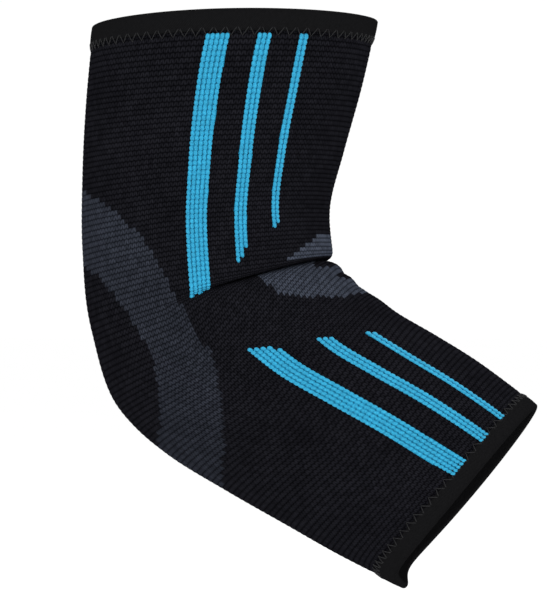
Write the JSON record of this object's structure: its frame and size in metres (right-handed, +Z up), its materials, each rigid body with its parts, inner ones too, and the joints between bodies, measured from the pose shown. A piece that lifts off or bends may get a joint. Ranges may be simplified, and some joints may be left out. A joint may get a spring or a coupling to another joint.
{
  "type": "elbow brace",
  "caption": "Knitted elbow compression sleeve in its worn, bent form: a stretchy tube for the arm, with a fold in the crook and a folded tape binding at each end.",
  "frame": {"origin": "middle of the hollow at the elbow, where the arm's two limb axes meet", "axes": "+Z up the upper arm, +X out over the forearm, which drops below it; the brace is symmetric about the XZ plane"},
  "size_m": [0.1756, 0.0966, 0.2192],
  "materials": {
    "knit_yarn": "ribbed knit, black with grey panels and blue stripes",
    "binding_tape": "smooth woven tape, charcoal"
  },
  "bodies": {
    "root": {"knit_sleeve": "knit_yarn", "upper_binding": "binding_tape", "lower_binding": "binding_tape"}
  },
  "joints": []
}
